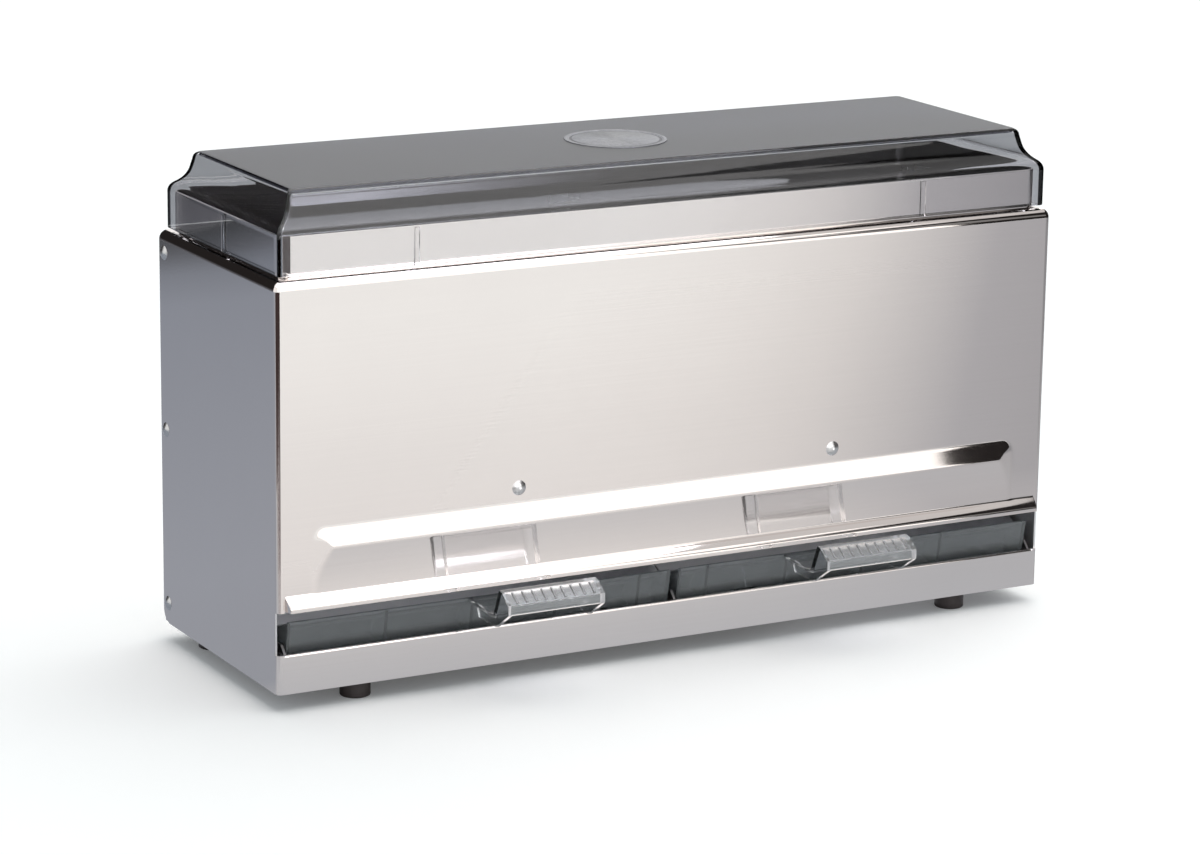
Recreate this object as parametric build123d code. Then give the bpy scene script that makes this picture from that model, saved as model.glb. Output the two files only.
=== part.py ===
from build123d import *
import math
import os

os.makedirs("parts", exist_ok=True)

# A counter-top straw dispenser with two bays side by side.
# X runs along the front, seen left to right. Y runs from the front to the back. Z is up.
# Z = 0 is the table under the feet, and X = Y = 0 is the middle of the whole outline.
# All sizes are in millimetres.

# The case
body_length = 432.0
body_depth = 138.5
body_height = 199.0
sheet = 0.9
bend_radius = 3.0
seam = 0.05
rear_corner_radius = 7.0
shoulder_width = 6.0

# The raised step across the front, and the lip over the slot
step_end_gap = 19.0
step_top = 79.5
step_crest = 70.0
step_rise = 2.4
step_end_slope = 4.0
lip_top = 46.5
lip_bottom = 41.0
lip_rise = 5.0
lip_root_rise = 0.6
lip_root_lap = 0.6
lip_end_gap = 4.5
slot_bottom = 19.3
slot_top = 40.0
slot_wrap = 2.6

# The neck that the lid drops over, and the lid
collar_rise = 20.0
collar_corner_radius = 5.5
lid_wall = 2.4
lid_play = 0.7
lid_foot_gap = 1.6
lid_skirt_height = 21.0
lid_crown_height = 17.9
lid_crown_inset = 12.5
lid_rib_width = 2.0
lid_rib_rise = 0.45
lid_rib_offset = 141.0
lid_roundel_radius = 26.0
lid_roundel_rise = 0.5
lid_roundel_groove = 1.6

# Rivets, all of one size
rivet_head_radius = 3.7
rivet_head_rise = 1.5
rivet_shank_radius = 1.6
rivet_tail_radius = 2.7
rivet_tail_rise = 1.1
hole_play = 0.05
front_rivet_height = 87.0
side_rivet_end_gap = 10.3
side_rivet_inset = 5.75

# Base pan and feet
pan_underside = 1.0
pan_rivet_gap = 0.6
foot_height = 9.0
foot_radius = 7.5
foot_edge = 0.8
front_foot_end_gap = 46.0
front_foot_inset = 12.3
rear_foot_end_gap = 16.0
rear_foot_inset = 25.0
screw_radius = 2.0
screw_head_radius = 3.6
screw_head_height = 2.2
screw_depth = 6.5
screw_tip_play = 0.5

# Back panel
rear_flange_depth = 12.0
rear_notch_drop = 3.6

# Hopper floor, divider and flow guides
floor_angle = 25.0
floor_sheet = 0.8
floor_rear_flange = 12.0
floor_side_flange = 8.0
floor_front_play = 0.9
floor_flange_setback = 10.0
floor_flange_lap = 0.2
divider_sheet = 0.9
divider_top_gap = 2.6
divider_flange_width = 10.0
divider_clearance = 0.1
divider_throat_gap = 4.0
divider_flange_gap = 2.0
guide_sheet = 0.6
guide_width = 150.0
guide_end_gap = 3.5
guide_top = 97.0
guide_bend = 72.0
guide_reach = 14.0
guide_bottom = 47.5
guide_hem = 2.0
guide_hem_rise = 2.5

# Levers: two clear rockers on one rod
lever_pitch = 177.0
pivot_inset = 6.4
pivot_height = 15.2
rod_radius = 1.6
rod_play = 0.08
rod_hub_wall = 1.6
lever_middle_gap = 2.6
lever_end_gap = 6.6
lever_wall = 1.8
lever_wall_top_inset = 1.9
lever_wall_top = 34.4
lever_wall_foot_inset = 5.2
lever_wall_foot = 17.0
seat_back_inset = 17.3
seat_back_height = 27.8
gate_wall = 1.6
gate_low_angle = 12.0
fin_thickness = 1.6
fin_pitch = 46.0
fins_per_lever = 4

# Press pad of a lever. Insets are from the front sheet, so they are negative in front of it.
pad_width = 52.0
pad_reach = 40.0
pad_wall = 1.8
pad_end_wall = 2.0
pad_face_height = 5.0
pad_face_top = 41.6
pad_lip_top = 46.9
pad_lip_inset = -30.0
pad_lip_back = 3.0
pad_lip_drop = 0.6
pad_trough_inset = -24.4
pad_trough_height = 33.6
pad_bed_inset = -18.6
pad_bed_height = 32.9
pad_shelf_inset = -7.1
pad_shelf_height = 34.1
pad_tip_inset = -27.0
pad_tip_height = 27.8
pad_heel_inset = -9.1
pad_heel_height = 28.2
pad_web_depth = 2.1
grip_ridges = 9
grip_ridge_radius = 0.7
grip_ridge_share = 0.8

# Rod brackets, rings and springs
bracket_sheet = 1.2
bracket_depth = 22.0
bracket_top = 23.0
bracket_chamfer = 4.0
bracket_foot = 12.0
bracket_end_gap = 1.2
bracket_rivet_spacing = 10.0
ring_wall = 2.4
ring_thickness = 0.8
rod_overhang = 1.6
spring_wire_radius = 0.4
spring_bore_play = 0.7
spring_turns = 6
spring_pitch = 1.1
spring_notch = 12.0
spring_notch_gap = 0.6
spring_hole_play = 0.4
spring_arm_angle = -30.0
spring_tail_angle = -10.0
spring_play = 0.2

# Places worked out from the sizes above
front_y = (pad_reach - body_depth) / 2
half_length = body_length / 2
inner_half = half_length - sheet
collar_top = body_height + collar_rise
lid_bottom = body_height + lid_foot_gap
lid_skirt_top = lid_bottom + lid_skirt_height
side_rivet_heights = (side_rivet_end_gap, body_height / 2, body_height - side_rivet_end_gap)
collar_half_x = half_length - shoulder_width
collar_half_y = body_depth / 2 - shoulder_width
body_middle_y = front_y + body_depth / 2
rivet_x = lever_pitch / 2
pan_floor = pan_underside + sheet
pan_flange_top = side_rivet_end_gap - rivet_tail_radius - pan_rivet_gap
side_edge = inner_half - sheet - rivet_tail_rise - 2 * seam
rod_hub_radius = rod_radius + rod_hub_wall
ring_radius = rod_radius + ring_wall
spring_coil_radius = rod_radius + spring_bore_play + spring_wire_radius
gate_outer_radius = math.hypot(seat_back_inset - pivot_inset, seat_back_height - pivot_height)
gate_top_angle = math.degrees(math.atan2(seat_back_height - pivot_height, seat_back_inset - pivot_inset))
lever_outer_x = half_length - lever_end_gap
bracket_plate_x = lever_outer_x + bracket_end_gap
floor_front_radius = gate_outer_radius + floor_front_play
floor_front_inset = pivot_inset + floor_front_radius * math.cos(math.radians(gate_top_angle))
floor_front_height = pivot_height + floor_front_radius * math.sin(math.radians(gate_top_angle))
floor_slope = math.tan(math.radians(floor_angle))

# The lid's stepped edge, as steps inwards from the skirt and upwards from its top: a round, a hollow,
# a steep rise and a round into the flat top
crown_profile = [(0, -3.0), (0.75, 0.2), (2.8, 2.4), (6.2, 5.6), (8.4, 10.4), (9.4, 14.4), (10.35, 16.8),
                 (lid_crown_inset, lid_crown_height)]


def spot(inset, height):
    """A point of a side view, from its distance behind the front sheet and above the case's edge."""
    return (front_y + inset, foot_height + height)


def side_prism(points, x_low, x_high):
    """A closed side view, stretched along X."""
    outline = make_face(Polyline(*[spot(*point) for point in points], close=True))
    return extrude(Plane.YZ.offset(x_low) * outline, amount=x_high - x_low)


def block(x_low, x_high, inset_low, inset_high, height_low, height_high):
    """A box from its limits."""
    size = (x_high - x_low, inset_high - inset_low, height_high - height_low)
    middle = ((x_high + x_low) / 2, front_y + (inset_high + inset_low) / 2,
              foot_height + (height_high + height_low) / 2)
    return Pos(*middle) * Box(*size)


def rod_along_x(x_low, x_high, inset, height, radius):
    """A round bar along X."""
    outline = Pos(*spot(inset, height)) * Circle(radius)
    return extrude(Plane.YZ.offset(x_low) * outline, amount=x_high - x_low)


def post(x, inset, height_low, height_high, radius):
    """A round bar along Z."""
    outline = Plane.XY.offset(foot_height + height_low) * Pos(x, front_y + inset) * Circle(radius)
    return extrude(outline, amount=height_high - height_low)


def bent_strip(points, thickness, x_low, x_high):
    """A sheet bent along a side-view line, with its thickness on the line's left."""
    offset_points = []
    last = len(points) - 1
    for index, (u, z) in enumerate(points):
        normals = []
        for start, end in ((index - 1, index), (index, index + 1)):
            if start < 0 or end > last:
                continue
            du = points[end][0] - points[start][0]
            dz = points[end][1] - points[start][1]
            length = math.hypot(du, dz)
            normals.append((-dz / length, du / length))
        normal_u = sum(normal[0] for normal in normals)
        normal_z = sum(normal[1] for normal in normals)
        stretch = thickness * len(normals) / (normal_u ** 2 + normal_z ** 2)
        offset_points.append((u + normal_u * stretch, z + normal_z * stretch))
    return side_prism(list(points) + offset_points[::-1], x_low, x_high)


def both_sides(shape):
    """The shape and its mirror image on the other side of the middle."""
    return shape, mirror(shape, Plane.YZ)


def save(node, shape):
    """Write one sub-part as parts/NODE.step."""
    shape.label = node
    export_step(shape, f"parts/{node}.step")


def rivet(grip):
    """A round-head rivet along +Z: the head's flat is at 0 and the sheets are below it."""
    dome_radius = (rivet_head_radius ** 2 + rivet_head_rise ** 2) / (2 * rivet_head_rise)
    dome = Pos(0, 0, rivet_head_rise - dome_radius) * Sphere(dome_radius)
    head = dome & Pos(0, 0, dome_radius) * Box(2 * dome_radius, 2 * dome_radius, 2 * dome_radius)
    shank = Pos(0, 0, -grip / 2) * Cylinder(rivet_shank_radius, grip)
    tail = Pos(0, 0, -grip - rivet_tail_rise / 2) * Cylinder(rivet_tail_radius, rivet_tail_rise)
    return head + shank + tail


def rivet_hole():
    """A bar that drills a rivet's hole through the sheets at its head."""
    return Cylinder(rivet_shank_radius + hole_play, 8 * sheet)


def front_rivet_place(side):
    """Where a front rivet's head sits, facing forwards."""
    return Location((side * rivet_x, front_y, foot_height + front_rivet_height), (90, 0, 0))


def side_rivet_place(side, height):
    """Where a side rivet's head sits, facing outwards."""
    y = front_y + body_depth - side_rivet_inset
    return Location((side * half_length, y, foot_height + height), (0, side * 90, 0))


def bracket_rivet_places():
    """The X and inset of each rivet that holds a rod bracket to the pan."""
    end_x = bracket_plate_x - bracket_foot / 2
    centre_x = (bracket_sheet + bracket_foot) / 2
    for x in (-end_x, centre_x, end_x):
        for step in range(2):
            yield x, pivot_inset + step * bracket_rivet_spacing


def foot_places():
    """The name, X and inset of each foot."""
    rear_inset = body_depth - rear_foot_inset
    front_x = half_length - front_foot_end_gap
    rear_x = half_length - rear_foot_end_gap
    yield "foot_front_left", -front_x, front_foot_inset
    yield "foot_front_right", front_x, front_foot_inset
    yield "foot_rear_left", -rear_x, rear_inset
    yield "foot_rear_right", rear_x, rear_inset


def case_form(length, depth, height, radius):
    """A box with its front corners and its front and side top edges rounded, front face at inset 0."""
    form = Pos(0, front_y + depth / 2, foot_height + height / 2) * Box(length, depth, height)
    top_edges = form.edges().group_by(Axis.Z)[-1].sort_by(Axis.Y)[:-1]
    corners = form.edges().filter_by(Axis.Z).sort_by(Axis.Y)[:2]
    return fillet(top_edges + corners, radius)


def step_form(back):
    """The raised step of the front sheet: a wedge with sloping ends, from this inset forwards."""
    end = half_length - step_end_gap
    wedge = side_prism([(back, step_top), (0, step_top), (-step_rise, step_crest),
                        (-lip_root_rise, lip_top), (back, lip_top)], -half_length, half_length)
    ends = Plane.XY.offset(foot_height + lip_top) * make_face(Polyline(
        (-end, front_y + back), (-end, front_y), (-end + step_end_slope, front_y - step_rise),
        (end - step_end_slope, front_y - step_rise), (end, front_y), (end, front_y + back), close=True))
    return wedge & extrude(ends, amount=step_top - lip_top)


def rear_corner_cutter():
    """What is cut away to round the lower rear corner of both sides."""
    centre = body_depth - rear_corner_radius
    x_low = -half_length - 1
    square = block(x_low, -x_low, centre, body_depth + 1, -1, rear_corner_radius)
    return square - rod_along_x(x_low, -x_low, centre, rear_corner_radius, rear_corner_radius)


def housing_wrap():
    """Front and both sides in one bent sheet, with the shoulder under the lid."""
    outside = case_form(body_length, body_depth, body_height, bend_radius)
    inside = Pos(0, sheet, 0) * case_form(body_length - 2 * sheet, body_depth, body_height - sheet,
                                          bend_radius - sheet)
    lip_x = half_length - lip_end_gap
    wrap = outside + step_form(sheet) - inside - Pos(0, sheet, 0) * step_form(sheet)
    wrap -= block(-lip_x, lip_x, -step_rise, sheet + 1, slot_bottom, lip_top)
    wrap -= block(-half_length - 1, half_length + 1, -1, slot_wrap, slot_bottom, slot_top)
    lip = bent_strip([(-lip_rise, lip_bottom), (-lip_root_rise, lip_top)], -sheet, -lip_x, lip_x)
    wrap += lip + block(-lip_x, lip_x, -lip_root_rise, sheet, lip_top - lip_root_lap, lip_top)
    opening_x = collar_half_x + seam
    wrap -= block(-opening_x, opening_x, shoulder_width - seam, body_depth + 1,
                  body_height - 2 * sheet, body_height + 1)
    wrap -= rear_corner_cutter()
    for side in (-1, 1):
        wrap -= front_rivet_place(side) * rivet_hole()
        for height in side_rivet_heights:
            wrap -= side_rivet_place(side, height) * rivet_hole()
    return wrap


def back_panel():
    """Flat back sheet with side flanges for the rivets and a forward ledge at its top."""
    plate_x = inner_half - seam
    ledge_x = collar_half_x - seam
    back = body_depth
    notch = body_height - rear_notch_drop
    plate = block(-plate_x, plate_x, back - sheet, back, 0, notch)
    top = block(-ledge_x, ledge_x, back - shoulder_width + seam, back, notch - bend_radius, body_height)
    top = fillet(top.edges().filter_by(Axis.X).sort_by(Axis.Z)[-2:].sort_by(Axis.Y)[-1:], bend_radius)
    hollow = block(-ledge_x, ledge_x, back - shoulder_width - 1, back - sheet, 0, body_height - sheet)
    hollow = fillet(hollow.edges().filter_by(Axis.X).sort_by(Axis.Z)[-2:].sort_by(Axis.Y)[-1:],
                    bend_radius - sheet)
    panel = plate + (top - hollow)
    for side in (-1, 1):
        x_pair = sorted((side * plate_x, side * (plate_x - sheet)))
        panel += block(*x_pair, back - rear_flange_depth, back - sheet / 2, 0, notch)
        for height in side_rivet_heights:
            panel -= side_rivet_place(side, height) * rivet_hole()
    return panel


def top_collar():
    """The upright neck round the filling opening, with a flange under the shoulder."""
    flange_x = half_length - bend_radius - 2 * seam
    flange_y = body_depth / 2 - bend_radius - 2 * seam
    low = foot_height + body_height - 2 * sheet
    neck_height = foot_height + collar_top - low

    def ring(half_x, half_y, radius, height):
        outline = Pos(0, body_middle_y) * RectangleRounded(2 * half_x, 2 * half_y, radius)
        return extrude(Plane.XY.offset(low) * outline, amount=height)

    neck = ring(collar_half_x, collar_half_y, collar_corner_radius, neck_height)
    flange = ring(flange_x, flange_y, collar_corner_radius, sheet)
    bore = ring(collar_half_x - sheet, collar_half_y - sheet, collar_corner_radius - sheet, neck_height)
    return neck + flange - bore


def lid_form(half_x, half_y, inset, drop):
    """The lid's outer shape, or its hollow when it is inset and dropped by the wall."""

    def crown_section(half_width):
        edge = half_width - inset
        top = foot_height + lid_skirt_top - drop
        base = foot_height + lid_bottom - drop - 1
        lines = [Line((-edge, base), (edge, base))]
        for side in (-1, 1):
            points = [(side * (edge - inward), top + height) for inward, height in crown_profile]
            lines.append(Line((side * edge, base), points[0]))
            lines.append(ThreePointArc(*points[0:3]))
            lines.append(ThreePointArc(*points[2:5]))
            lines.append(Line(points[4], points[5]))
            lines.append(ThreePointArc(*points[5:8]))
        flat = edge - lid_crown_inset
        lines.append(Line((-flat, top + lid_crown_height), (flat, top + lid_crown_height)))
        return make_face(Wire(lines))

    front_view = Plane.XZ.offset(-half_y - body_middle_y) * crown_section(half_x)
    side_view = Plane.YZ.offset(-half_x) * Pos(body_middle_y, 0) * crown_section(half_y)
    along_y = extrude(front_view, amount=2 * half_y)
    along_x = extrude(side_view, amount=2 * half_x)
    return along_x & along_y


def lid():
    """One smoked moulding: skirt, stepped crown, locating ribs and a plain round boss on top."""
    half_x = collar_half_x + lid_play + lid_wall
    half_y = collar_half_y + lid_play + lid_wall
    shell = lid_form(half_x, half_y, 0, 0)
    hollow = lid_form(half_x, half_y, lid_wall, lid_wall)
    base = foot_height + lid_bottom
    trim = Pos(0, body_middle_y, base - 5) * Box(3 * half_x, 3 * half_y, 10)
    shell = shell - trim - hollow
    rib_height = collar_top - lid_bottom
    rib_z = base + rib_height / 2
    for side in (-1, 1):
        rib_y = body_middle_y + side * (half_y - lid_wall)
        for x in (-lid_rib_offset, lid_rib_offset):
            shell += Pos(x, rib_y, rib_z) * Box(lid_rib_width, 2 * lid_rib_rise, rib_height)
        rib_x = side * (half_x - lid_wall)
        shell += Pos(rib_x, body_middle_y, rib_z) * Box(2 * lid_rib_rise, lid_rib_width, rib_height)
    top = foot_height + lid_skirt_top + lid_crown_height
    boss = Pos(0, body_middle_y, top) * Cylinder(lid_roundel_radius, 2 * lid_roundel_rise)
    groove = Pos(0, body_middle_y, top + lid_roundel_rise) * (
        Cylinder(lid_roundel_radius - lid_roundel_groove, lid_roundel_rise)
        - Cylinder(lid_roundel_radius - 2 * lid_roundel_groove, lid_roundel_rise))
    return shell + boss - groove


def base_pan():
    """The tray that closes the bottom and carries the feet and the rod brackets."""
    front = sheet + seam
    back = body_depth - sheet - seam
    half_x = inner_half - sheet - 2 * seam
    tray = block(-half_x, half_x, front, back, pan_underside, pan_flange_top)
    tray = fillet(tray.edges().filter_by(Axis.Z), bend_radius)
    tray -= block(-half_x + sheet, half_x - sheet, front + sheet, back - sheet, pan_floor, pan_flange_top + 1)
    for _, x, inset in foot_places():
        tray -= post(x, inset, 0, pan_floor + 1, screw_radius + hole_play)
    for x, inset in bracket_rivet_places():
        tray -= post(x, inset, 0, pan_floor + 1, rivet_shank_radius + hole_play)
    for side in (-1, 1):
        x, inset = spring_tail_foot(side)
        tray -= post(x, inset, 0, pan_floor + 1, spring_wire_radius + spring_hole_play)
    return tray


def hopper_floor(side):
    """The sloping sheet that straws roll down, with flanges at its back and sides."""
    back = body_depth - sheet - seam
    rise = (back - floor_front_inset) * floor_slope
    back_height = floor_front_height + rise
    near = divider_sheet / 2 + divider_clearance
    x_pair = sorted((side * near, side * (side_edge - seam)))
    floor = bent_strip([(floor_front_inset, floor_front_height), (back, back_height),
                        (back, back_height + floor_rear_flange)], floor_sheet, *x_pair)
    flange_front = floor_front_inset + floor_flange_setback
    front_height = floor_front_height + floor_flange_setback * floor_slope
    flange_back = back - rear_flange_depth
    rear_height = back_height - rear_flange_depth * floor_slope
    outline = [(flange_front, front_height + floor_flange_lap),
               (flange_back, rear_height + floor_flange_lap),
               (flange_back, rear_height - floor_side_flange),
               (flange_front, front_height - floor_side_flange)]
    for x in (near, side_edge - seam - floor_sheet):
        floor += side_prism(outline, *sorted((side * x, side * (x + floor_sheet))))
    return floor


def hopper_divider():
    """The upright sheet between the bays, flanged against the front and back sheets."""
    front = sheet + seam
    back = body_depth - sheet - seam
    half = divider_sheet / 2
    clear = bracket_depth + pivot_inset
    low = pan_floor + seam
    pan_back = back - sheet - seam
    top = body_height - divider_top_gap
    pan_low = pan_flange_top + seam
    divider = side_prism([(front, top), (back, top), (back, pan_low), (pan_back, pan_low), (pan_back, low),
                          (clear, low), (clear, floor_front_height + divider_throat_gap),
                          (pivot_inset, slot_top + divider_throat_gap),
                          (front, lip_top + divider_throat_gap)], -half, half)
    floor_rise = (back - floor_front_inset) * floor_slope
    rear_low = floor_front_height + floor_rise + floor_rear_flange + divider_flange_gap
    front_low = step_top + divider_flange_gap
    divider += block(0, divider_flange_width, front, front + divider_sheet, front_low, top)
    divider += block(0, divider_flange_width, back - divider_sheet, back, rear_low, top)
    return divider


def flow_guide(side):
    """The leaf behind the front sheet that lets one layer of straws through at a time."""
    front = sheet + seam
    near = divider_flange_width + guide_end_gap
    x_pair = sorted((side * near, side * (near + guide_width)))
    leaf = bent_strip([(front, guide_top), (front, guide_bend), (guide_reach, guide_bottom),
                       (guide_reach + guide_hem, guide_bottom + guide_hem_rise)], guide_sheet, *x_pair)
    return leaf - front_rivet_place(side) * rivet_hole()


def polar_spot(distance, angle):
    """The point at this distance and angle from the pivot."""
    return (pivot_inset + distance * math.cos(math.radians(angle)),
            pivot_height + distance * math.sin(math.radians(angle)))


def gate(x_low, x_high):
    """The curved wall behind the seat that holds the next straws back while the lever is down."""
    ring = rod_along_x(x_low, x_high, pivot_inset, pivot_height, gate_outer_radius)
    ring -= rod_along_x(x_low, x_high, pivot_inset, pivot_height, gate_outer_radius - gate_wall)
    far = 2 * gate_outer_radius
    sector = side_prism([(pivot_inset, pivot_height), polar_spot(far, gate_low_angle),
                         polar_spot(far, gate_top_angle)], x_low, x_high)
    return ring & sector


def fin_outline():
    """The V-shaped web that joins the front wall, the hub and the gate."""
    middle = lever_wall / 2
    return [(lever_wall_top_inset + middle, lever_wall_top), (seat_back_inset, seat_back_height),
            polar_spot(gate_outer_radius - gate_wall / 2, gate_low_angle),
            (pivot_inset, pivot_height), (lever_wall_foot_inset + middle, lever_wall_foot)]


def press_pad(middle_x):
    """The trough that catches a straw, with a ridged lip to press on and two pointed end webs."""
    low_x = middle_x - pad_width / 2
    high_x = middle_x + pad_width / 2
    face = -pad_reach
    root = (lever_wall_top_inset + lever_wall, lever_wall_top)
    ridge_foot = (face, pad_face_top)
    ridge_head = (pad_lip_inset - pad_lip_back, pad_lip_top - pad_lip_drop)
    trough = [root, (pad_shelf_inset, pad_shelf_height), (pad_bed_inset, pad_bed_height),
              (pad_trough_inset, pad_trough_height), (pad_lip_inset, pad_lip_top), ridge_head, ridge_foot,
              (face, pad_face_top - pad_face_height)]
    underside = [(pad_tip_inset, pad_tip_height), (pad_heel_inset, pad_heel_height),
                 (pad_shelf_inset, pad_shelf_height - pad_web_depth), (root[0], root[1] - pad_web_depth)]
    shell = bent_strip(trough, pad_wall, low_x, high_x)
    for x in (low_x, high_x - pad_end_wall):
        shell += side_prism(trough + underside, x, x + pad_end_wall)
    start = Vector(0, *spot(*ridge_head))
    run = Vector(0, *spot(*ridge_foot)) - start
    margin = run * ((1 - grip_ridge_share) / 2)
    for index in range(grip_ridges):
        x = low_x + (index + 1) * pad_width / (grip_ridges + 1)
        plane = Plane(origin=Vector(x, 0, 0) + start + margin, z_dir=run)
        shell += extrude(plane * Circle(grip_ridge_radius), amount=run.length * grip_ridge_share)
    return shell


def lever():
    """The right-hand lever: a clear moulding that turns on the rod."""
    low_x = lever_middle_gap
    high_x = lever_outer_x
    hub = rod_along_x(low_x, high_x, pivot_inset, pivot_height, rod_hub_radius)
    wall = side_prism([(lever_wall_top_inset, lever_wall_top),
                       (lever_wall_top_inset + lever_wall, lever_wall_top),
                       (lever_wall_foot_inset + lever_wall, lever_wall_foot), (pivot_inset, pivot_height),
                       (lever_wall_foot_inset, lever_wall_foot)], low_x, high_x)
    body = hub + wall + gate(low_x, high_x)
    outline = fin_outline()
    fin_x = [rivet_x + (index - (fins_per_lever - 1) / 2) * fin_pitch for index in range(fins_per_lever)]
    for x in fin_x:
        body += side_prism(outline, x - fin_thickness / 2, x + fin_thickness / 2)
    for x in (low_x, high_x - fin_thickness):
        body += side_prism(outline, x, x + fin_thickness)
    body += press_pad(rivet_x)
    notch_x = (fin_x[0] + fin_x[1]) / 2
    notch_size = rod_hub_radius + spring_notch_gap
    body -= block(notch_x - spring_notch / 2, notch_x + spring_notch / 2, pivot_inset - notch_size,
                  pivot_inset + notch_size, pivot_height - notch_size, pivot_height + notch_size)
    return body - rod_along_x(low_x - 1, high_x + 1, pivot_inset, pivot_height, rod_radius + rod_play)


def lever_rod():
    """The steel rod that both levers turn on."""
    end = bracket_plate_x + bracket_sheet + rod_overhang
    return rod_along_x(-end, end, pivot_inset, pivot_height, rod_radius)


def retaining_rings():
    """A push-on ring outside each end bracket, so that the rod can't slide out."""
    rings = []
    for side in (-1, 1):
        near = bracket_plate_x + bracket_sheet + seam
        x_pair = sorted((side * near, side * (near + ring_thickness)))
        ring = rod_along_x(*x_pair, pivot_inset, pivot_height, ring_radius)
        rings.append(ring - rod_along_x(*x_pair, pivot_inset, pivot_height, rod_radius + hole_play / 2))
    return Compound(children=rings)


def rod_bracket(x_low, foot_low, foot_high):
    """An upright plate with a hole for the rod and a foot riveted to the pan."""
    front = 2 * sheet + 2 * seam
    low = pan_floor + seam
    plate = block(x_low, x_low + bracket_sheet, front, front + bracket_depth, low, bracket_top)
    plate = chamfer(plate.edges().filter_by(Axis.X).sort_by(Axis.Z)[-2:], bracket_chamfer)
    foot = block(foot_low, foot_high, front, front + bracket_depth, low, low + bracket_sheet)
    bracket = plate + foot
    bracket -= rod_along_x(x_low - 1, x_low + bracket_sheet + 1, pivot_inset, pivot_height,
                           rod_radius + hole_play)
    for x, inset in bracket_rivet_places():
        bracket -= post(x, inset, 0, low + bracket_sheet + 1, rivet_shank_radius + hole_play)
    return bracket


def spring_middle():
    """The X of the spring notch in the right-hand lever."""
    return rivet_x - fin_pitch


def spring_frame():
    """Where the right-hand spring starts: X axis out to the wire, Z axis along the rod."""
    angle = math.radians(spring_arm_angle)
    x = spring_middle() + spring_turns * spring_pitch / 2
    y, z = spot(pivot_inset, pivot_height)
    return Plane(origin=(x, y, z), x_dir=(0, math.cos(angle), math.sin(angle)), z_dir=(-1, 0, 0))


def spring_line():
    """The wire's middle line, in the spring's own frame: arm, coil round Z, and tail."""
    turns = spring_turns - (spring_tail_angle - spring_arm_angle) / 360
    coil = Helix(spring_pitch, turns * spring_pitch, spring_coil_radius)
    reach = gate_outer_radius - gate_wall - spring_wire_radius - spring_play
    arm_length = math.sqrt(reach ** 2 - spring_coil_radius ** 2)
    arm_end = coil @ 0 - (coil % 0) * arm_length
    tail_angle = math.radians(spring_tail_angle)
    drop = pivot_height + spring_coil_radius * math.sin(tail_angle) - pan_underside - spring_play
    tail_end = coil @ 1 + (coil % 1) * (drop / math.cos(tail_angle))
    return Wire([Line(arm_end, coil @ 0), coil, Line(coil @ 1, tail_end)])


def spring_tail_foot(side):
    """The X and inset of the hole in the pan that the spring's tail ends in."""
    end = spring_frame().from_local_coords(spring_line() @ 1)
    return side * end.X, end.Y - front_y


def lever_spring():
    """The right-hand torsion spring: a coil round the rod, an arm on the gate and a tail in the pan."""
    line = spring_line()
    section = Plane(origin=line @ 0, z_dir=line % 0) * Circle(spring_wire_radius)
    return spring_frame().location * sweep(section, path=line)


def foot(x, inset):
    """A rubber foot with a blind hole for its screw."""
    solid = post(x, inset, -foot_height, pan_underside, foot_radius)
    solid = fillet(solid.edges().sort_by(Axis.Z)[:1], foot_edge)
    hole_end = pan_underside - screw_depth - screw_tip_play
    return solid - post(x, inset, hole_end, pan_underside, screw_radius + hole_play)


def foot_screws():
    """One screw per foot, driven down through the pan."""
    screws = []
    for _, x, inset in foot_places():
        head = post(x, inset, pan_floor, pan_floor + screw_head_height, screw_head_radius)
        head = fillet(head.edges().sort_by(Axis.Z)[-1:], screw_head_height / 2)
        screws.append(head + post(x, inset, pan_underside - screw_depth, pan_floor + sheet, screw_radius))
    return Compound(children=screws)


def rivets_at(places, grip):
    """Like rivets as one group of separate solids."""
    return Compound(children=[place * rivet(grip) for place in places])


def bracket_rivets():
    """Rivets under the pan, with their tails on the brackets' feet."""
    places = [Location((x, front_y + inset, foot_height + pan_underside), (180, 0, 0))
              for x, inset in bracket_rivet_places()]
    return rivets_at(places, sheet + seam + bracket_sheet)


end_plate = bracket_plate_x + bracket_sheet
save("housing_wrap", housing_wrap())
save("back_panel", back_panel())
save("top_collar", top_collar())
save("base_pan", base_pan())
save("lid", lid())
save("hopper_divider", hopper_divider())
for name, side in (("left", -1), ("right", 1)):
    save(f"{name}_hopper_floor", hopper_floor(side))
    save(f"{name}_flow_guide", flow_guide(side))
    side_places = [side_rivet_place(side, height) for height in side_rivet_heights]
    save(f"{name}_side_rivets", rivets_at(side_places, 2 * sheet + seam))
right_lever, left_lever = both_sides(lever())
save("right_lever", right_lever)
save("left_lever", left_lever)
right_spring, left_spring = both_sides(lever_spring())
save("right_lever_spring", right_spring)
save("left_lever_spring", left_spring)
save("lever_rod", lever_rod())
save("rod_retaining_rings", retaining_rings())
save("left_rod_bracket", rod_bracket(-end_plate, -end_plate, -end_plate + bracket_foot))
save("right_rod_bracket", rod_bracket(bracket_plate_x, end_plate - bracket_foot, end_plate))
save("centre_rod_bracket", rod_bracket(-bracket_sheet / 2, -bracket_sheet / 2, bracket_foot))
save("front_rivets", rivets_at([front_rivet_place(-1), front_rivet_place(1)], sheet + seam + guide_sheet))
save("bracket_rivets", bracket_rivets())
save("foot_screws", foot_screws())
for name, x, inset in foot_places():
    save(name, foot(x, inset))
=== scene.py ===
import math

import bmesh
import bpy
from mathutils import Matrix, Vector


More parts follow.
